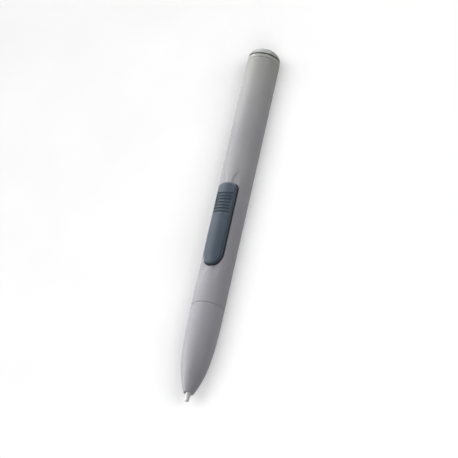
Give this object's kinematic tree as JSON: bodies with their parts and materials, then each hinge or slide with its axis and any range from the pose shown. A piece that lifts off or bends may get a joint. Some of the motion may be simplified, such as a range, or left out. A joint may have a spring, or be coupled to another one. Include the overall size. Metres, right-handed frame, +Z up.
{
  "type": "digitiser stylus pen",
  "caption": "Passive tablet stylus pen with a tapered nose, pressure-sensing nib, ribbed two-way side switch and a domed press-in eraser end.",
  "frame": {"origin": "centre of the bounding box, on the surface the pen lies on", "axes": "+X along the pen from the nib to the eraser end, +Z up through the side switch, the pen is the same on both sides of Y = 0"},
  "size_m": [0.1428, 0.012, 0.0134],
  "materials": {
    "body_plastic": "satin moulded light grey plastic",
    "nose_plastic": "satin moulded light grey plastic, slightly darker",
    "switch_plastic": "satin slate blue-grey plastic",
    "eraser_plastic": "polished translucent pale grey plastic",
    "collar_plastic": "polished light grey plastic",
    "nib_plastic": "hard white acetal",
    "inner_plastic": "plain black moulded plastic",
    "natural_plastic": "natural moulded plastic",
    "seal_rubber": "black elastomer",
    "sensor_rubber": "conductive silicone",
    "ferrite": "sintered dark grey ferrite",
    "copper_wire": "enamelled copper wire",
    "board": "green solder mask",
    "chip_black": "black moulding compound",
    "capacitor_ceramic": "tan multilayer ceramic",
    "disc_ceramic": "pale sintered ceramic",
    "trimmer_metal": "plain brass",
    "steel": "bright steel",
    "contact_plate": "gold-tinted contact metal",
    "lead_insulation": "red insulation"
  },
  "bodies": {
    "handle": {"barrel": "body_plastic", "nose_cone": "nose_plastic", "nose_seal": "seal_rubber", "nib_bush": "trimmer_metal", "nib_ferrite": "ferrite", "nib_coil_bobbin": "natural_plastic", "nib_coil": "copper_wire", "nib_sensor_housing": "inner_plastic", "nib_sensor_rubber": "sensor_rubber", "nib_sensor_disc": "disc_ceramic", "nib_sensor_plate": "contact_plate", "nib_spring": "steel", "carrier": "inner_plastic", "main_board": "board", "pivot_bracket": "natural_plastic", "pivot_pin": "steel", "front_tact_body": "steel", "rear_tact_body": "steel", "controller_chip": "chip_black", "chip_capacitors": "capacitor_ceramic", "trimmer_capacitor": "trimmer_metal", "end_collar": "collar_plastic", "eraser_sensor_housing": "inner_plastic", "eraser_sensor_cap": "inner_plastic", "eraser_sensor_disc": "disc_ceramic", "eraser_sensor_rubber": "sensor_rubber", "eraser_spring": "steel", "eraser_coil_bobbin": "natural_plastic", "eraser_coil": "copper_wire", "eraser_ferrite": "ferrite", "nib_leads": "lead_insulation", "eraser_leads": "lead_insulation"},
    "nib": {"nib": "nib_plastic", "nib_holder": "natural_plastic"},
    "switch": {"side_switch": "switch_plastic"},
    "front_button": {"front_tact_button": "chip_black"},
    "rear_button": {"rear_tact_button": "chip_black"},
    "eraser": {"eraser_tip": "eraser_plastic", "eraser_stem": "natural_plastic"}
  },
  "joints": [
    {"name": "nib_press", "type": "slide", "parent": "handle", "child": "nib", "axis": [1, 0, 0], "range_m": [0, 0.0004], "stiffness_N_per_m": 1500, "springref_m": -0.0002, "deforming": ["nib_spring"]},
    {"name": "switch_rock", "type": "hinge", "parent": "handle", "child": "switch", "pos_m": [-0.00375, 0, 0.0084], "axis": [0, 1, 0], "range_deg": [-1.35, 1.35], "stiffness_Nm_per_rad": 0.6},
    {"name": "front_button_press", "type": "slide", "parent": "handle", "child": "front_button", "axis": [0, 0, 1], "range_m": [-0.00026, 0.00026]},
    {"name": "rear_button_press", "type": "slide", "parent": "handle", "child": "rear_button", "axis": [0, 0, 1], "range_m": [-0.00026, 0.00026]},
    {"name": "eraser_press", "type": "slide", "parent": "handle", "child": "eraser", "axis": [-1, 0, 0], "range_m": [0, 0.00035], "stiffness_N_per_m": 1500, "springref_m": -0.0002, "deforming": ["eraser_spring"]}
  ],
  "couplings": [
    {"joint": "front_button_press", "follows": "switch_rock", "m_per_rad": 0.0106},
    {"joint": "rear_button_press", "follows": "switch_rock", "m_per_rad": -0.0106}
  ]
}
